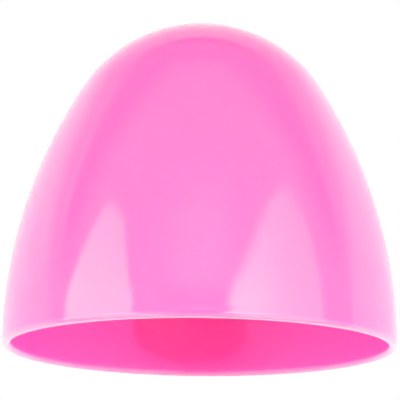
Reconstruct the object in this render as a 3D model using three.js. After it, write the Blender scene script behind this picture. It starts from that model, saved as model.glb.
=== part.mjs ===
// A silicone cupping cup: one soft moulding, a domed shell that is open at the bottom.
// The dome is squeezed, its lip is set on the skin, and the wall springs back and draws the skin up.
//
// Millimetres, +Z up. The origin is the centre of the mouth, on the plane that the lip rests on.
//
// The outside is three tangent arcs turned about Z: from the lip up, the skirt, the flank and the crown.
// Along an arc, a point is placed by the angle of its normal above the horizontal: 0 on an upright wall, and
// a quarter turn at the top of the crown. The inside follows the outside at a wall thickness that grows with
// that angle, so the wall is thinnest at the skirt and thickest at the crown.

import * as THREE from "three";

const degrees = THREE.MathUtils.degToRad;

// Outside, in millimetres and radians.
const LIP_RADIUS = 35;
const WALL_RADIUS = 34.7;
const SKIRT_FOOT = 2.5;
const SKIRT_ARC = 60;
const SKIRT_TOP_ANGLE = degrees(6);
const FLANK_ARC = 91;
const FLANK_TOP_ANGLE = degrees(31.3);
const CROWN_TOP_ANGLE = degrees(90);

// Wall and lip, in millimetres.
const SKIRT_WALL = 1.6;
const CROWN_WALL = 2.4;
const LIP_ROUNDING = 0.75;
const BEAD_TOP = 2;

// Facets.
const SEGMENTS_ROUND = 64;
const SKIRT_STEPS = 2;
const FLANK_STEPS = 8;
const CROWN_STEPS = 11;
const BEAD_STEPS = 3;
const ROUNDING_STEPS = 4;

const SILICONE_PINK = 0xff94db;

// A point on an arc, where the arc's normal stands at the given angle.
function onArc(arc, angle) {
  return new THREE.Vector2(
    arc.centre.x + arc.radius * Math.cos(angle),
    arc.centre.y + arc.radius * Math.sin(angle),
  );
}

// Points along an arc, from one angle to the other, both ends included.
function arcPoints(arc, from, to, steps) {
  const points = [];
  for (let i = 0; i <= steps; i += 1) {
    points.push(onArc(arc, THREE.MathUtils.lerp(from, to, i / steps)));
  }
  return points;
}

// An arc of another radius that carries on from the given one, with the same tangent where they meet.
function nextArc(arc, angle, radius) {
  const shift = arc.radius - radius;
  return {
    centre: new THREE.Vector2(
      arc.centre.x + shift * Math.cos(angle),
      arc.centre.y + shift * Math.sin(angle),
    ),
    radius,
  };
}

// The three arcs of the outside. The crown's radius is the one that puts its centre on the axis.
function outsideArcs() {
  const skirt = {
    centre: new THREE.Vector2(WALL_RADIUS - SKIRT_ARC, SKIRT_FOOT),
    radius: SKIRT_ARC,
  };
  const flank = nextArc(skirt, SKIRT_TOP_ANGLE, FLANK_ARC);
  const crownRadius = FLANK_ARC + flank.centre.x / Math.cos(FLANK_TOP_ANGLE);
  const crown = nextArc(flank, FLANK_TOP_ANGLE, crownRadius);
  crown.centre.x = 0;
  return [
    { arc: skirt, from: 0, to: SKIRT_TOP_ANGLE, steps: SKIRT_STEPS },
    { arc: flank, from: SKIRT_TOP_ANGLE, to: FLANK_TOP_ANGLE, steps: FLANK_STEPS },
    { arc: crown, from: FLANK_TOP_ANGLE, to: CROWN_TOP_ANGLE, steps: CROWN_STEPS },
  ];
}

// Wall thickness where the outside's normal stands at the given angle.
function wallAt(angle) {
  return SKIRT_WALL + (CROWN_WALL - SKIRT_WALL) * Math.sin(angle);
}

// The dome's outline from the skirt's foot to the top of the crown, set in by inset(angle) from the outside.
function domeOutline(inset) {
  const points = [];
  for (const { arc, from, to, steps } of outsideArcs()) {
    const first = points.length === 0 ? 0 : 1;
    for (let i = first; i <= steps; i += 1) {
      const angle = THREE.MathUtils.lerp(from, to, i / steps);
      points.push(onArc({ centre: arc.centre, radius: arc.radius - inset(angle) }, angle));
    }
  }
  points[points.length - 1].x = 0;
  return points;
}

// The lip, from the inner wall round under the rim, then up the small outer bead to the upright wall.
// A flat land is left between the two roundings, and the cup rests on it.
function lipOutline() {
  const mouthRadius = WALL_RADIUS - SKIRT_WALL;
  const inner = {
    centre: new THREE.Vector2(mouthRadius + LIP_ROUNDING, LIP_ROUNDING),
    radius: LIP_ROUNDING,
  };
  const outer = {
    centre: new THREE.Vector2(LIP_RADIUS - LIP_ROUNDING, LIP_ROUNDING),
    radius: LIP_ROUNDING,
  };
  const points = [
    ...arcPoints(inner, degrees(180), degrees(270), ROUNDING_STEPS),
    ...arcPoints(outer, degrees(-90), 0, ROUNDING_STEPS),
  ];
  for (let i = 1; i <= BEAD_STEPS; i += 1) {
    const share = i / BEAD_STEPS;
    const eased = THREE.MathUtils.smoothstep(share, 0, 1);
    points.push(
      new THREE.Vector2(
        THREE.MathUtils.lerp(LIP_RADIUS, WALL_RADIUS, eased),
        THREE.MathUtils.lerp(LIP_ROUNDING, BEAD_TOP, share),
      ),
    );
  }
  return points;
}

// The closed section of the wall: from the top of the hollow down the inside, round the lip, up the outside.
function cupSection() {
  return [
    ...domeOutline(wallAt).reverse(),
    ...lipOutline(),
    ...domeOutline(() => 0),
  ];
}

function buildCup() {
  const geometry = new THREE.LatheGeometry(cupSection(), SEGMENTS_ROUND);
  geometry.rotateX(Math.PI / 2);
  const material = new THREE.MeshStandardMaterial({
    color: SILICONE_PINK,
    roughness: 0.2,
    metalness: 0,
  });
  const cup = new THREE.Mesh(geometry, material);
  cup.name = "cup";
  return cup;
}

const cuppingCup = new THREE.Group();
cuppingCup.add(buildCup());

export default cuppingCup;
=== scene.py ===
import math

import bmesh
import bpy
from mathutils import Matrix, Vector


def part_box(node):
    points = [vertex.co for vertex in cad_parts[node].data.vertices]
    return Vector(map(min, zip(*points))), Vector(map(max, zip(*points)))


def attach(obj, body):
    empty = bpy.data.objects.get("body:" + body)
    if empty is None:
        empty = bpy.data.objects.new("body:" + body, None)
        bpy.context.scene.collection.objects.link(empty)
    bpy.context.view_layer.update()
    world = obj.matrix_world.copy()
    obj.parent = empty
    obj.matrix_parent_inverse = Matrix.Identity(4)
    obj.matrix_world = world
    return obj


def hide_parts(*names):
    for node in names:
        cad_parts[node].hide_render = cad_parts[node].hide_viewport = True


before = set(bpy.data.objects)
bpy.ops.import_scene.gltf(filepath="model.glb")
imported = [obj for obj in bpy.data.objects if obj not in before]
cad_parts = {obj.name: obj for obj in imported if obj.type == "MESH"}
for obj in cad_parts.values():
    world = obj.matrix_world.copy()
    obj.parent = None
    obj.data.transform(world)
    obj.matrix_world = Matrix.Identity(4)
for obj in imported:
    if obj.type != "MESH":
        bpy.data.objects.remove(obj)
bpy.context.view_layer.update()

# The cup stands on its lip at the origin, +Z up. The frame gives its lip's radius. Every other size of the
# cup is in millimetres at a lip radius of 35 mm, and ONE_MM is one of those millimetres in the frame.
CUP_LOW, CUP_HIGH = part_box("cup")
LIP_RADIUS = 35.0
ONE_MM = (CUP_HIGH.x - CUP_LOW.x) / 2 / LIP_RADIUS

# Outside of the dome: skirt, flank and crown arcs, each tangent to the next.
WALL_RADIUS = 34.8
SKIRT_FOOT = 2.4
SKIRT_ARC = 60.0
SKIRT_TOP_ANGLE = math.radians(6)
FLANK_ARC = 91.0
FLANK_TOP_ANGLE = math.radians(31.3)

# Wall and lip. The rim stands out of the skirt by the flare, which stays inside the frame's lip radius.
SKIRT_WALL = 1.6
CROWN_WALL = 2.4
FLARE = 0.05
FLARE_TOP = 2.3

# Mesh steps.
SEGMENTS_ROUND = 256
SKIRT_STEPS = 4
FLANK_STEPS = 28
CROWN_STEPS = 40
FLARE_STEPS = 6
LIP_STEPS = 16

# Silicone colours, as linear red, green and blue. The rim takes a share of its painted highlight colour
# below RIM_TOP mm, and the full share below RIM_FULL mm. This paler rim is painted light, for the lip's edge
# reflection and the glow through its thin edge.
DEEP_PINK = (0.99, 0.107, 0.52, 1)
PALE_PINK = (0.99, 0.122, 0.555, 1)
RIM_HIGHLIGHT_PINK = (0.99, 0.40, 0.62, 1)
RIM_TOP = 1.2
RIM_FULL = 0.1
RIM_HIGHLIGHT_SHARE = 0.4
SPECK_SHARE = 0.3

# Silicone surface. The inside is satin and the outside is polished, with smudges. Both indices are set above
# real silicone's, about 1.41, for a stronger gloss, and the gloss is tinted.
SCATTER_MM = (6.0, 6.0, 6.0)
GLOSS_TINT = (1.0, 1.0, 0.6, 1)
OUTSIDE_IOR = 1.85
INSIDE_IOR = 1.5
OUTSIDE_ROUGHNESS = 0.07
INSIDE_ROUGHNESS = 0.15
SMUDGE_ROUGHNESS = 0.03
SMUDGE_FROM = 0.35
SMUDGE_TO = 0.75
SIDE_STEP = 5.0
SWELL_HEIGHT = 0.01
SATIN_HEIGHT = 0.004

# Silicone patterns, as (size of a grain in mm, noise detail).
CLOUDS = (14.0, 3.0)
SPECKS = (0.5, 2.0)
SMUDGES = (9.0, 4.0)
SWELLS = (7.0, 1.0)
SATIN = (0.12, 3.0)

# Camera, in metres and degrees. It looks up at the cup from below the plane of the mouth.
VIEW_ELEVATION = -11.81
VIEW_DISTANCE = 0.5
VIEW_PIVOT_HEIGHT = 0.028
VIEW_AIM = (-0.0002, 0.0, 0.0268)
VIEW_ROLL = 0.57
LENS = 252.5
SENSOR_WIDTH = 36
CLIP_NEAR = 0.01
CLIP_FAR = 100

# Studio boxes and glow. Places are (degrees to the camera's right, degrees above it), seen from the cup.
LEFT_BOX = ((-60, 50), (-47, 46), (-36, 17), (-29, 0), (-82, -6), (-84, 22))
RIGHT_BOX = ((57.5, 53), (45, 51), (16.4, 24.7), (10, 2), (78, -6), (77, 20), (71, 41))
LEFT_BOX_EDGE = 0.07
RIGHT_BOX_EDGE = 0.13
CEILING_GLOW = (0, 38)
GLOW_HALF = 24

# Studio zones. Each limit is how far a direction points right, up or towards the camera, from -1 to 1.
# The paper is the white surface behind the cup, and PAPER_FACING is the way that it faces.
SOFT_EDGE = 0.15
PAPER_FACING = (0.0, 0.43, 0.9)
PAPER_EDGE = 0.025
PAPER_FOOT = -0.25
LOW_UP = -0.35
HIGH_UP = 0.36
FAR_LEFT = -0.3
FAR_RIGHT = 0.3
WALLS_FRONT = -0.3
CEILING_FRONT = 0.0
BOX_FALL_UP = (0.25, 0.7)
RIGHT_BOX_FALL_RIGHT = (0.4, 1.0)

# Brightness of each part of the studio, where 1 is white, and the shares by which the boxes fall off.
WHITE = (1.0, 1.0, 1.0, 1)
LIGHT_COLOUR = (1.0, 1.0, 0.8, 1)
LEFT_BOX_LIGHT = 3.7
RIGHT_BOX_LIGHT = 4.3
BOX_FALL = 0.25
RIGHT_BOX_FALL = 0.45
PAPER_BEHIND = 1.15
PAPER_LEFT = 1.4
PAPER_RIGHT = 1.0
PAPER_ABOVE = 0.15
CEILING_LIGHT = 1.22
GLOW_LIGHT = 0.35
ARCH_LIGHT = 0.6
LEFT_WALL_LIGHT = 1.2
RIGHT_WALL_LIGHT = 1.1
LEFT_FILL_LIGHT = 2.1
RIGHT_FILL_LIGHT = 2.8
MIDDLE_FILL_LIGHT = 0.2

# Table behind the cup, in degrees and metres. It almost touches the far wall. A glow is light given off.
TABLE_LEAN = 5.0
TABLE_HALF = 0.4
TABLE_BELOW = 0.5
TABLE_ABOVE = 0.14
TABLE_COLOUR = (0.9, 0.9, 0.9, 1)
TABLE_TOP_COLOUR = (0.55, 0.55, 0.55, 1)
TABLE_GLOW = 0.25
DUSK_FROM = 0.065
DUSK_TO = 0.12

# Contact patch, in millimetres. It stands for the part of a soft wall that lies flat against the table.
CONTACT_GAP = 0.15
PATCH_SHIFT = -2.0
PATCH_HALF = 11.0
PATCH_FOOT = 2.5
PATCH_ROUND = 5.0
PATCH_TOP_ANGLE = math.radians(15)
PATCH_STEPS = 24
PATCH_COLOUR = (1.0, 0.0, 0.5, 1)
PATCH_GLOW = 0.4

# Floor, in metres. Its bluish colour offsets the yellow light.
FLOOR_COLOUR = (0.74, 0.74, 0.88, 1)
FLOOR_ROUGHNESS = 0.6
FLOOR_HALF = 0.5
FLOOR_FADE_FROM = 0.12
FLOOR_FADE_TO = 0.4

# The floor is out of the way while the camera is below it, and the table while the camera is above.
OUT_OF_THE_WAY = 20.0
CAMERA_BELOW = -0.03
CAMERA_ABOVE = -0.02


# Mesh.

def on_arc(arc, angle):
    """A point on an arc (centre x, centre z, radius), where its normal stands at that angle."""
    x, z, radius = arc
    return x + radius * math.cos(angle), z + radius * math.sin(angle)


def next_arc(arc, angle, radius):
    """An arc of another radius that carries on from this one, with the same tangent where they meet."""
    x, z, old = arc
    shift = old - radius
    return x + shift * math.cos(angle), z + shift * math.sin(angle), radius


def dome_arcs():
    """(arc, from angle, to angle, steps) for the skirt, the flank and the crown."""
    skirt = (WALL_RADIUS - SKIRT_ARC, SKIRT_FOOT, SKIRT_ARC)
    flank = next_arc(skirt, SKIRT_TOP_ANGLE, FLANK_ARC)
    crown = next_arc(flank, FLANK_TOP_ANGLE, FLANK_ARC + flank[0] / math.cos(FLANK_TOP_ANGLE))
    return (
        (skirt, 0.0, SKIRT_TOP_ANGLE, SKIRT_STEPS),
        (flank, SKIRT_TOP_ANGLE, FLANK_TOP_ANGLE, FLANK_STEPS),
        (crown, FLANK_TOP_ANGLE, math.pi / 2, CROWN_STEPS),
    )


def dome_point(angle, gap):
    """(radius, height) of a point on the outside of the dome, moved out by a gap."""
    for (x, z, radius), _, end, _ in dome_arcs():
        if angle <= end:
            return on_arc((x, z, radius + gap), angle)


def wall_at(angle):
    """Wall thickness where the outside's normal stands at that angle."""
    return SKIRT_WALL + (CROWN_WALL - SKIRT_WALL) * math.sin(angle)


def dome_outline(inset):
    """The dome's outline from the skirt's foot to the top of the crown, set in by inset(angle)."""
    points = []
    for (x, z, radius), start, end, steps in dome_arcs():
        for i in range(1 if points else 0, steps + 1):
            angle = start + (end - start) * i / steps
            points.append(on_arc((x, z, radius - inset(angle)), angle))
    return points[:-1] + [(0.0, points[-1][1])]


def lip_outline():
    """The full-round lip, from its inner side round under the rim, and up the flare to the skirt."""
    half = (FLARE + SKIRT_WALL) / 2
    rim = WALL_RADIUS + FLARE
    points = []
    for i in range(LIP_STEPS + 1):
        angle = math.pi + math.pi * i / LIP_STEPS
        points.append(on_arc((rim - half, half, half), angle))
    for i in range(1, FLARE_STEPS + 1):
        share = i / FLARE_STEPS
        eased = share * share * (3 - 2 * share)
        points.append((rim - FLARE * eased, half + (FLARE_TOP - half) * share))
    return points


def cup_section():
    """From the top of the hollow down the inside, round the lip and up the outside."""
    inside = dome_outline(wall_at)
    outside = dome_outline(lambda angle: 0.0)
    return inside[::-1] + lip_outline() + outside


def add_mesh(name, build):
    """A smooth object made from a finished bmesh."""
    mesh = bpy.data.meshes.new(name)
    build.to_mesh(mesh)
    build.free()
    mesh.shade_smooth()
    made = bpy.data.objects.new(name, mesh)
    bpy.context.scene.collection.objects.link(made)
    return made


def turned_mesh(name, section, segments):
    """A closed mesh turned about Z. The section starts and ends on the axis, at a radius of exactly 0."""
    build = bmesh.new()
    rings = []
    for radius, height in section:
        ring = []
        for k in range(segments if radius else 1):
            turn = 2 * math.pi * k / segments
            place = Vector((radius * math.cos(turn), radius * math.sin(turn), height))
            ring.append(build.verts.new(place * ONE_MM))
        rings.append(ring)
    for below, above in zip(rings, rings[1:]):
        for k in range(segments):
            n = (k + 1) % segments
            low_side = [below[k % len(below)], below[n % len(below)]]
            high_side = [above[n % len(above)], above[k % len(above)]]
            build.faces.new(list(dict.fromkeys(low_side + high_side)))
    bmesh.ops.recalc_face_normals(build, faces=build.faces)
    return add_mesh(name, build)


def sheet_mesh(name, rows, material):
    """An open sheet through rows of points, as a stage piece."""
    build = bmesh.new()
    grid = [[build.verts.new(point) for point in row] for row in rows]
    for lower, upper in zip(grid, grid[1:]):
        for k in range(len(lower) - 1):
            build.faces.new((lower[k], lower[k + 1], upper[k + 1], upper[k]))
    made = add_mesh(name, build)
    made.data.materials.append(material)
    return made


# Nodes.

def feed(tree, socket, value):
    """Sets an input socket to a value, or links another node's output to it."""
    if isinstance(value, bpy.types.NodeSocket):
        tree.links.new(value, socket)
    else:
        socket.default_value = value


def calc(tree, operation, *values):
    """The output of a Math node."""
    made = tree.nodes.new("ShaderNodeMath")
    made.operation = operation
    for socket, value in zip(made.inputs, values):
        feed(tree, socket, value)
    return made.outputs[0]


def times(tree, first, *others):
    """The product of the values. For shapes, it is 1 where they all are."""
    product = first
    for value in others:
        product = calc(tree, "MULTIPLY", product, value)
    return product


def without(tree, shape):
    """1 where the shape is 0, and 0 where it is 1."""
    return calc(tree, "SUBTRACT", 1.0, shape)


def ramp(tree, value, low, high):
    """0 where the value is low and 1 where it is high, with a smooth step. Low may be the larger number."""
    made = tree.nodes.new("ShaderNodeMapRange")
    made.interpolation_type = "SMOOTHSTEP"
    feed(tree, made.inputs["Value"], value)
    made.inputs["From Min"].default_value = low
    made.inputs["From Max"].default_value = high
    return made.outputs["Result"]


def above(tree, value, level):
    """1 where the value is above the level and 0 where it is below, with a soft edge."""
    return ramp(tree, value, level - SOFT_EDGE, level + SOFT_EDGE)


def along(tree, direction, axis):
    """How far a direction points along an axis."""
    made = tree.nodes.new("ShaderNodeVectorMath")
    made.operation = "DOT_PRODUCT"
    feed(tree, made.inputs[0], direction)
    feed(tree, made.inputs[1], axis)
    return made.outputs["Value"]


def blend(tree, share, first, second):
    """The first colour where the share is 0, and the second where it is 1."""
    made = tree.nodes.new("ShaderNodeMix")
    made.data_type = "RGBA"
    feed(tree, made.inputs["Factor"], share)
    feed(tree, made.inputs[6], first)
    feed(tree, made.inputs[7], second)
    return made.outputs[2]


def between(tree, share, first, second):
    """The first number where the share is 0, and the second where it is 1."""
    made = tree.nodes.new("ShaderNodeMix")
    made.data_type = "FLOAT"
    feed(tree, made.inputs[0], share)
    feed(tree, made.inputs[2], first)
    feed(tree, made.inputs[3], second)
    return made.outputs[0]


def noise(tree, place, pattern):
    """Noise from 0 to 1 in a pattern (size of a grain in mm, detail)."""
    grain, detail = pattern
    made = tree.nodes.new("ShaderNodeTexNoise")
    feed(tree, made.inputs["Vector"], place)
    made.inputs["Scale"].default_value = 1 / (grain * ONE_MM)
    made.inputs["Detail"].default_value = detail
    return made.outputs[0]


def raised(tree, pattern, height, below=None):
    """A bump of that many millimetres where the pattern is 1, on top of the bump below it."""
    made = tree.nodes.new("ShaderNodeBump")
    made.inputs["Distance"].default_value = height * ONE_MM
    feed(tree, made.inputs["Height"], pattern)
    if below:
        feed(tree, made.inputs["Normal"], below)
    return made.outputs[0]


def new_material(name):
    """A material, its node tree and its Principled shader."""
    material = bpy.data.materials.new(name)
    material.use_nodes = True
    tree = material.node_tree
    return material, tree, tree.nodes["Principled BSDF"]


# Silicone.

def silicone_colour(tree, place):
    """Cloudy, speckled pigment, with a painted highlight that makes the rim paler."""
    clouds = times(tree, noise(tree, place, CLOUDS), 1 - SPECK_SHARE)
    pigment = calc(tree, "MULTIPLY_ADD", noise(tree, place, SPECKS), SPECK_SHARE, clouds)
    height = along(tree, place, (0, 0, 1))
    # Painted highlight: the rim is paler, for the lip's edge reflection and the glow through its thin edge.
    rim = times(tree, ramp(tree, height, RIM_TOP * ONE_MM, RIM_FULL * ONE_MM), RIM_HIGHLIGHT_SHARE)
    return blend(tree, rim, blend(tree, pigment, DEEP_PINK, PALE_PINK), RIM_HIGHLIGHT_PINK)


def silicone_roughness(tree, place, inside):
    """A polished outside with smudges, and a satin inside."""
    smudge = ramp(tree, noise(tree, place, SMUDGES), SMUDGE_FROM, SMUDGE_TO)
    polish = calc(tree, "MULTIPLY_ADD", smudge, SMUDGE_ROUGHNESS, OUTSIDE_ROUGHNESS)
    return calc(tree, "MULTIPLY_ADD", inside, INSIDE_ROUGHNESS - OUTSIDE_ROUGHNESS, polish)


def silicone_normal(tree, place, inside):
    """Slow swells all over, and a fine satin grain inside."""
    swell = raised(tree, noise(tree, place, SWELLS), SWELL_HEIGHT)
    grain = times(tree, inside, noise(tree, place, SATIN))
    return raised(tree, grain, SATIN_HEIGHT, swell)


def silicone():
    """Translucent pink silicone. A face is inside the cup where its normal points towards the origin."""
    material, tree, shader = new_material("pink_silicone")
    surface = tree.nodes.new("ShaderNodeNewGeometry")
    place = tree.nodes.new("ShaderNodeTexCoord").outputs["Object"]
    outward = along(tree, surface.outputs["Normal"], surface.outputs["Position"])
    inside = ramp(tree, outward, SIDE_STEP * ONE_MM, -SIDE_STEP * ONE_MM)
    for name, value in (
        ("Base Color", silicone_colour(tree, place)),
        ("Roughness", silicone_roughness(tree, place, inside)),
        ("Normal", silicone_normal(tree, place, inside)),
        ("IOR", between(tree, inside, OUTSIDE_IOR, INSIDE_IOR)),
        ("Specular Tint", GLOSS_TINT),
        ("Subsurface Weight", 1.0),
        ("Subsurface Radius", SCATTER_MM),
        ("Subsurface Scale", ONE_MM),
    ):
        feed(tree, shader.inputs[name], value)
    return material


# Floor and table.

def card(name, colour, glow):
    """A matt card that also gives off light of its own colour."""
    material, tree, shader = new_material(name)
    feed(tree, shader.inputs["Base Color"], colour)
    feed(tree, shader.inputs["Emission Color"], colour)
    shader.inputs["Roughness"].default_value = 1.0
    shader.inputs["Specular IOR Level"].default_value = 0.0
    shader.inputs["Emission Strength"].default_value = glow
    return material


def table_card():
    """The table's card, which gives off light and darkens towards its top edge."""
    material = card("table_card", TABLE_COLOUR, TABLE_GLOW)
    tree = material.node_tree
    shader = tree.nodes["Principled BSDF"]
    surface = tree.nodes.new("ShaderNodeNewGeometry")
    height = along(tree, surface.outputs["Position"], (0, 0, 1))
    shade = blend(tree, ramp(tree, height, DUSK_FROM, DUSK_TO), TABLE_COLOUR, TABLE_TOP_COLOUR)
    feed(tree, shader.inputs["Base Color"], shade)
    feed(tree, shader.inputs["Emission Color"], shade)
    return material


def make_floor():
    """A pale floor under the lip. It fades into the white backdrop."""
    material, tree, shader = new_material("pale_floor")
    surface = tree.nodes.new("ShaderNodeNewGeometry")
    reach = tree.nodes.new("ShaderNodeVectorMath")
    reach.operation = "LENGTH"
    feed(tree, reach.inputs[0], surface.outputs["Position"])
    feed(tree, shader.inputs["Base Color"], FLOOR_COLOUR)
    feed(tree, shader.inputs["Roughness"], FLOOR_ROUGHNESS)
    feed(tree, shader.inputs["Alpha"], ramp(tree, reach.outputs["Value"], FLOOR_FADE_TO, FLOOR_FADE_FROM))
    rows = [[(x, y, 0) for x in (-FLOOR_HALF, FLOOR_HALF)] for y in (-FLOOR_HALF, FLOOR_HALF)]
    return sheet_mesh("floor", rows, material)


def make_table():
    """The table behind the cup. The camera doesn't see it, but it reflects light and gives some off."""
    lean = math.radians(TABLE_LEAN)
    radius, height = dome_point(lean, CONTACT_GAP)
    touch = Vector((0, radius, height)) * ONE_MM
    up = Vector((0, -math.sin(lean), math.cos(lean)))
    rows = []
    for reach in (-TABLE_BELOW, TABLE_ABOVE):
        rows.append([touch + up * reach + Vector((side, 0, 0)) for side in (-TABLE_HALF, TABLE_HALF)])
    table = sheet_mesh("table", rows, table_card())
    table.visible_camera = False
    return table


def make_contact_patch():
    """A round-footed patch on the far wall. The camera doesn't see it. It shades the wall and glows pink."""
    rows = []
    for i in range(PATCH_STEPS + 1):
        radius, height = dome_point(PATCH_TOP_ANGLE * i / PATCH_STEPS, CONTACT_GAP)
        fall = max(0.0, 1 - (height - PATCH_FOOT) / PATCH_ROUND)
        half = PATCH_HALF * math.sqrt(max(0.0, 1 - fall * fall))
        row = []
        for k in range(PATCH_STEPS + 1):
            turn = (PATCH_SHIFT + half * (2 * k / PATCH_STEPS - 1)) / radius
            row.append(Vector((math.sin(turn) * radius, math.cos(turn) * radius, height)) * ONE_MM)
        rows.append(row)
    patch = sheet_mesh("contact_patch", rows, card("patch_card", PATCH_COLOUR, PATCH_GLOW))
    patch.visible_camera = False
    return patch


def lift_with(camera, piece, when_below, when_above):
    """Lifts a stage piece by one height while the camera is below the mouth, and by another above it."""
    rule = piece.constraints.new("TRANSFORM")
    rule.target = camera
    rule.map_from = "LOCATION"
    rule.map_to = "LOCATION"
    rule.from_min_z = CAMERA_BELOW
    rule.from_max_z = CAMERA_ABOVE
    rule.to_min_z = when_below
    rule.to_max_z = when_above


# Camera.

def make_camera():
    """A long lens from in front, below the plane of the mouth."""
    elevation = math.radians(VIEW_ELEVATION)
    back = Vector((0, -math.cos(elevation), math.sin(elevation)))
    camera = bpy.data.objects.new("camera", bpy.data.cameras.new("camera"))
    camera.data.lens = LENS
    camera.data.sensor_width = SENSOR_WIDTH
    camera.data.clip_start = CLIP_NEAR
    camera.data.clip_end = CLIP_FAR
    camera.location = Vector((0, 0, VIEW_PIVOT_HEIGHT)) + back * VIEW_DISTANCE
    camera.rotation_mode = "QUATERNION"
    look = Vector(VIEW_AIM) - camera.location
    roll = Matrix.Rotation(math.radians(VIEW_ROLL), 4, "Z").to_quaternion()
    camera.rotation_quaternion = look.to_track_quat("-Z", "Y") @ roll
    bpy.context.scene.collection.objects.link(camera)
    bpy.context.scene.camera = camera
    return camera


# Studio.

def studio_place(right, up):
    """The direction from the cup to a place in the studio, as (right, up, towards the camera)."""
    swing = math.radians(math.hypot(right, up))
    turn = math.atan2(right, up)
    return Vector((math.sin(swing) * math.sin(turn), math.sin(swing) * math.cos(turn), math.cos(swing)))


def light_box(tree, direction, corners, edge):
    """1 inside a flat-sided window in the studio, 0 outside."""
    places = [studio_place(*corner) for corner in corners]
    middle = sum(places, Vector())
    sides = []
    for place, following in zip(places, places[1:] + places[:1]):
        facing = place.cross(following).normalized()
        if facing.dot(middle) < 0:
            facing = -facing
        sides.append(ramp(tree, along(tree, direction, facing), -edge / 2, edge / 2))
    return times(tree, *sides)


def studio_direction(tree):
    """The direction that a ray leaves the set in, as (right, up, towards the camera)."""
    place = tree.nodes.new("ShaderNodeTexCoord")
    turned = tree.nodes.new("ShaderNodeVectorTransform")
    turned.vector_type = "VECTOR"
    turned.convert_from = "WORLD"
    turned.convert_to = "CAMERA"
    feed(tree, turned.inputs[0], place.outputs["Generated"])
    flip = tree.nodes.new("ShaderNodeVectorMath")
    flip.operation = "MULTIPLY"
    feed(tree, flip.inputs[0], turned.outputs[0])
    feed(tree, flip.inputs[1], (1, 1, -1))
    return flip.outputs[0]


def paper_light(tree, right, up):
    """Brightness of the paper: straight behind the cup, overhead, and to either side."""
    rising = calc(tree, "MAXIMUM", up, 0.0)
    upright = between(tree, times(tree, rising, rising), PAPER_BEHIND, PAPER_ABOVE)
    sides = between(tree, ramp(tree, right, -SOFT_EDGE, SOFT_EDGE), PAPER_LEFT, PAPER_RIGHT)
    return between(tree, times(tree, right, right), upright, sides)


def studio_parts(tree, direction):
    """(shape, brightness) of each part of the studio."""
    right = along(tree, direction, (1, 0, 0))
    up = along(tree, direction, (0, 1, 0))
    front = along(tree, direction, (0, 0, 1))

    paper = ramp(tree, along(tree, direction, PAPER_FACING), PAPER_EDGE, -PAPER_EDGE)
    left_box = light_box(tree, direction, LEFT_BOX, LEFT_BOX_EDGE)
    right_box = light_box(tree, direction, RIGHT_BOX, RIGHT_BOX_EDGE)
    open_air = without(tree, paper)
    room = times(tree, open_air, without(tree, left_box), without(tree, right_box))

    far_left = without(tree, above(tree, right, FAR_LEFT))
    far_right = above(tree, right, FAR_RIGHT)
    centre = without(tree, calc(tree, "ADD", far_left, far_right))
    high = above(tree, up, HIGH_UP)
    not_low = above(tree, up, LOW_UP)
    ceiling_side = above(tree, front, CEILING_FRONT)
    wall_side = above(tree, front, WALLS_FRONT)
    ceiling = times(tree, room, high, ceiling_side)
    arch = times(tree, room, high, without(tree, ceiling_side))
    walls = times(tree, room, not_low, without(tree, high), wall_side)
    fills = times(tree, room, without(tree, not_low), wall_side)

    to_glow = along(tree, direction, studio_place(*CEILING_GLOW))
    glow = times(tree, room, ramp(tree, to_glow, math.cos(math.radians(GLOW_HALF)), 1.0))
    fade_up = without(tree, times(tree, ramp(tree, up, *BOX_FALL_UP), BOX_FALL))
    fade_right = without(tree, times(tree, ramp(tree, right, *RIGHT_BOX_FALL_RIGHT), RIGHT_BOX_FALL))
    return (
        (times(tree, paper, above(tree, up, PAPER_FOOT)), paper_light(tree, right, up)),
        (times(tree, left_box, open_air, fade_up), LEFT_BOX_LIGHT),
        (times(tree, right_box, open_air, fade_up, fade_right), RIGHT_BOX_LIGHT),
        (glow, GLOW_LIGHT),
        (ceiling, CEILING_LIGHT),
        (arch, ARCH_LIGHT),
        (times(tree, walls, far_left), LEFT_WALL_LIGHT),
        (times(tree, walls, far_right), RIGHT_WALL_LIGHT),
        (times(tree, fills, far_left), LEFT_FILL_LIGHT),
        (times(tree, fills, far_right), RIGHT_FILL_LIGHT),
        (times(tree, fills, centre), MIDDLE_FILL_LIGHT),
    )


def make_world():
    """A studio that goes round with the camera. The camera itself sees a plain white backdrop."""
    world = bpy.data.worlds.new("studio")
    world.use_nodes = True
    bpy.context.scene.world = world
    tree = world.node_tree
    background = tree.nodes["Background"]
    light = 0.0
    for shape, brightness in studio_parts(tree, studio_direction(tree)):
        light = calc(tree, "MULTIPLY_ADD", shape, brightness, light)
    seen = tree.nodes.new("ShaderNodeLightPath").outputs["Is Camera Ray"]
    feed(tree, background.inputs["Strength"], between(tree, seen, light, 1.0))
    feed(tree, background.inputs["Color"], blend(tree, seen, LIGHT_COLOUR, WHITE))


cup = turned_mesh("cup_body", cup_section(), SEGMENTS_ROUND)
cup.data.materials.append(silicone())
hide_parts("cup")
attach(cup, "root")

camera = make_camera()
make_world()
lift_with(camera, make_floor(), -OUT_OF_THE_WAY, 0.0)
lift_with(camera, make_table(), 0.0, OUT_OF_THE_WAY)
lift_with(camera, make_contact_patch(), 0.0, OUT_OF_THE_WAY)
bpy.context.scene.view_settings.view_transform = "Standard"
